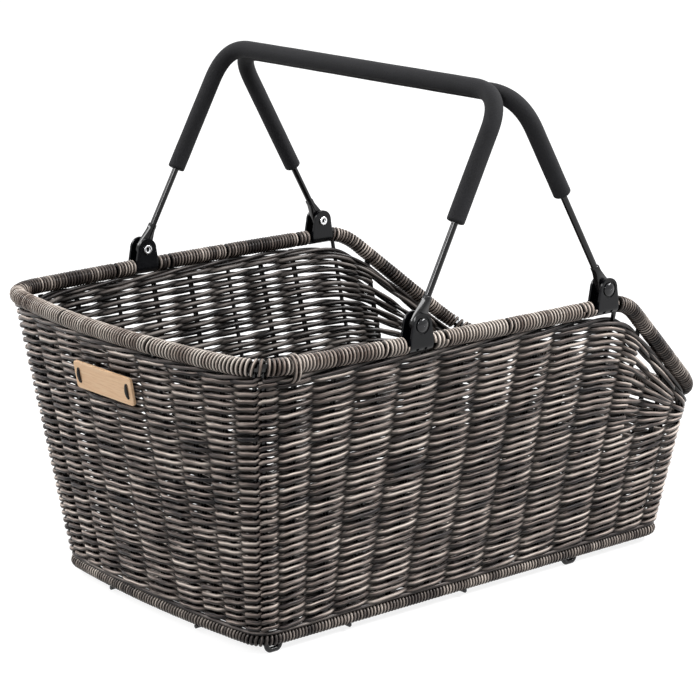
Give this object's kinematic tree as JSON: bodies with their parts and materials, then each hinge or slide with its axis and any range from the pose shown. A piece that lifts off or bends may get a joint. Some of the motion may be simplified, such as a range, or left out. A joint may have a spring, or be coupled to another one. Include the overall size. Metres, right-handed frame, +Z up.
{
  "type": "bicycle basket",
  "caption": "Woven rear bicycle basket on a steel wire frame, tall at one end and low at the other, with two folding carrying handles.",
  "frame": {"origin": "centre of the basket's footprint on the surface that it stands on: the middle of its overall length and width, at the underside of the foot loops", "axes": "+X from the tall end to the low end, +Y across to the far side, +Z up"},
  "size_m": [0.4619, 0.3272, 0.3739],
  "materials": {
    "wire": "black coated steel wire, satin",
    "bracket": "blue-black satin coated steel",
    "rod": "gloss black coated steel rod",
    "grip": "matt black foam",
    "rivet": "dull steel with a dark head",
    "weave": "dark grey-brown strands with a soft sheen",
    "binding": "taupe and olive-brown strands with a soft sheen",
    "badge": "pale bare wood",
    "tie": "black strap"
  },
  "bodies": {
    "basket": {"rim_wire": "wire", "base_wire": "wire", "upright_near_1": "wire", "upright_near_2": "wire", "upright_near_3": "wire", "upright_far_1": "wire", "upright_far_2": "wire", "upright_far_3": "wire", "upright_tall_near": "wire", "upright_tall_far": "wire", "upright_low_near": "wire", "upright_low_far": "wire", "corner_tall_near_end": "wire", "corner_tall_near_long": "wire", "corner_tall_far_end": "wire", "corner_tall_far_long": "wire", "corner_low_near_end": "wire", "corner_low_near_long": "wire", "corner_low_far_end": "wire", "corner_low_far_long": "wire", "floor_wire_cross_1": "wire", "floor_wire_cross_2": "wire", "floor_wire_long_near": "wire", "floor_wire_long_far": "wire", "foot_loop_tall_near": "wire", "foot_loop_tall_far": "wire", "foot_loop_low_near": "wire", "foot_loop_low_far": "wire", "wall_near": "weave", "wall_far": "weave", "wall_tall": "weave", "wall_low": "weave", "floor": "weave", "rim_wrap_tall": "binding", "rim_wrap_low": "binding", "rim_wrap_near": "binding", "rim_wrap_far": "binding", "rim_turns_near_1": "binding", "rim_turns_near_2": "binding", "rim_turns_far_1": "binding", "rim_turns_far_2": "binding", "base_wrap": "binding", "bracket_near_1": "bracket", "bracket_near_2": "bracket", "bracket_far_1": "bracket", "bracket_far_2": "bracket", "rivet_near_1": "rivet", "rivet_near_2": "rivet", "rivet_far_1": "rivet", "rivet_far_2": "rivet", "badge_plate": "badge", "badge_tie_near": "tie", "badge_tie_far": "tie"},
    "handle_1": {"handle_1_rod": "rod", "handle_1_grip": "grip"},
    "handle_2": {"handle_2_rod": "rod", "handle_2_grip": "grip"}
  },
  "joints": [
    {"name": "handle_1_fold", "type": "hinge", "parent": "basket", "child": "handle_1", "pos_m": [-0.0828, 0, 0.221], "axis": [0, -1, 0], "range_deg": [0, 118]},
    {"name": "handle_2_fold", "type": "hinge", "parent": "basket", "child": "handle_2", "pos_m": [0.0912, 0, 0.221], "axis": [0, 1, 0], "range_deg": [0, 136]}
  ]
}
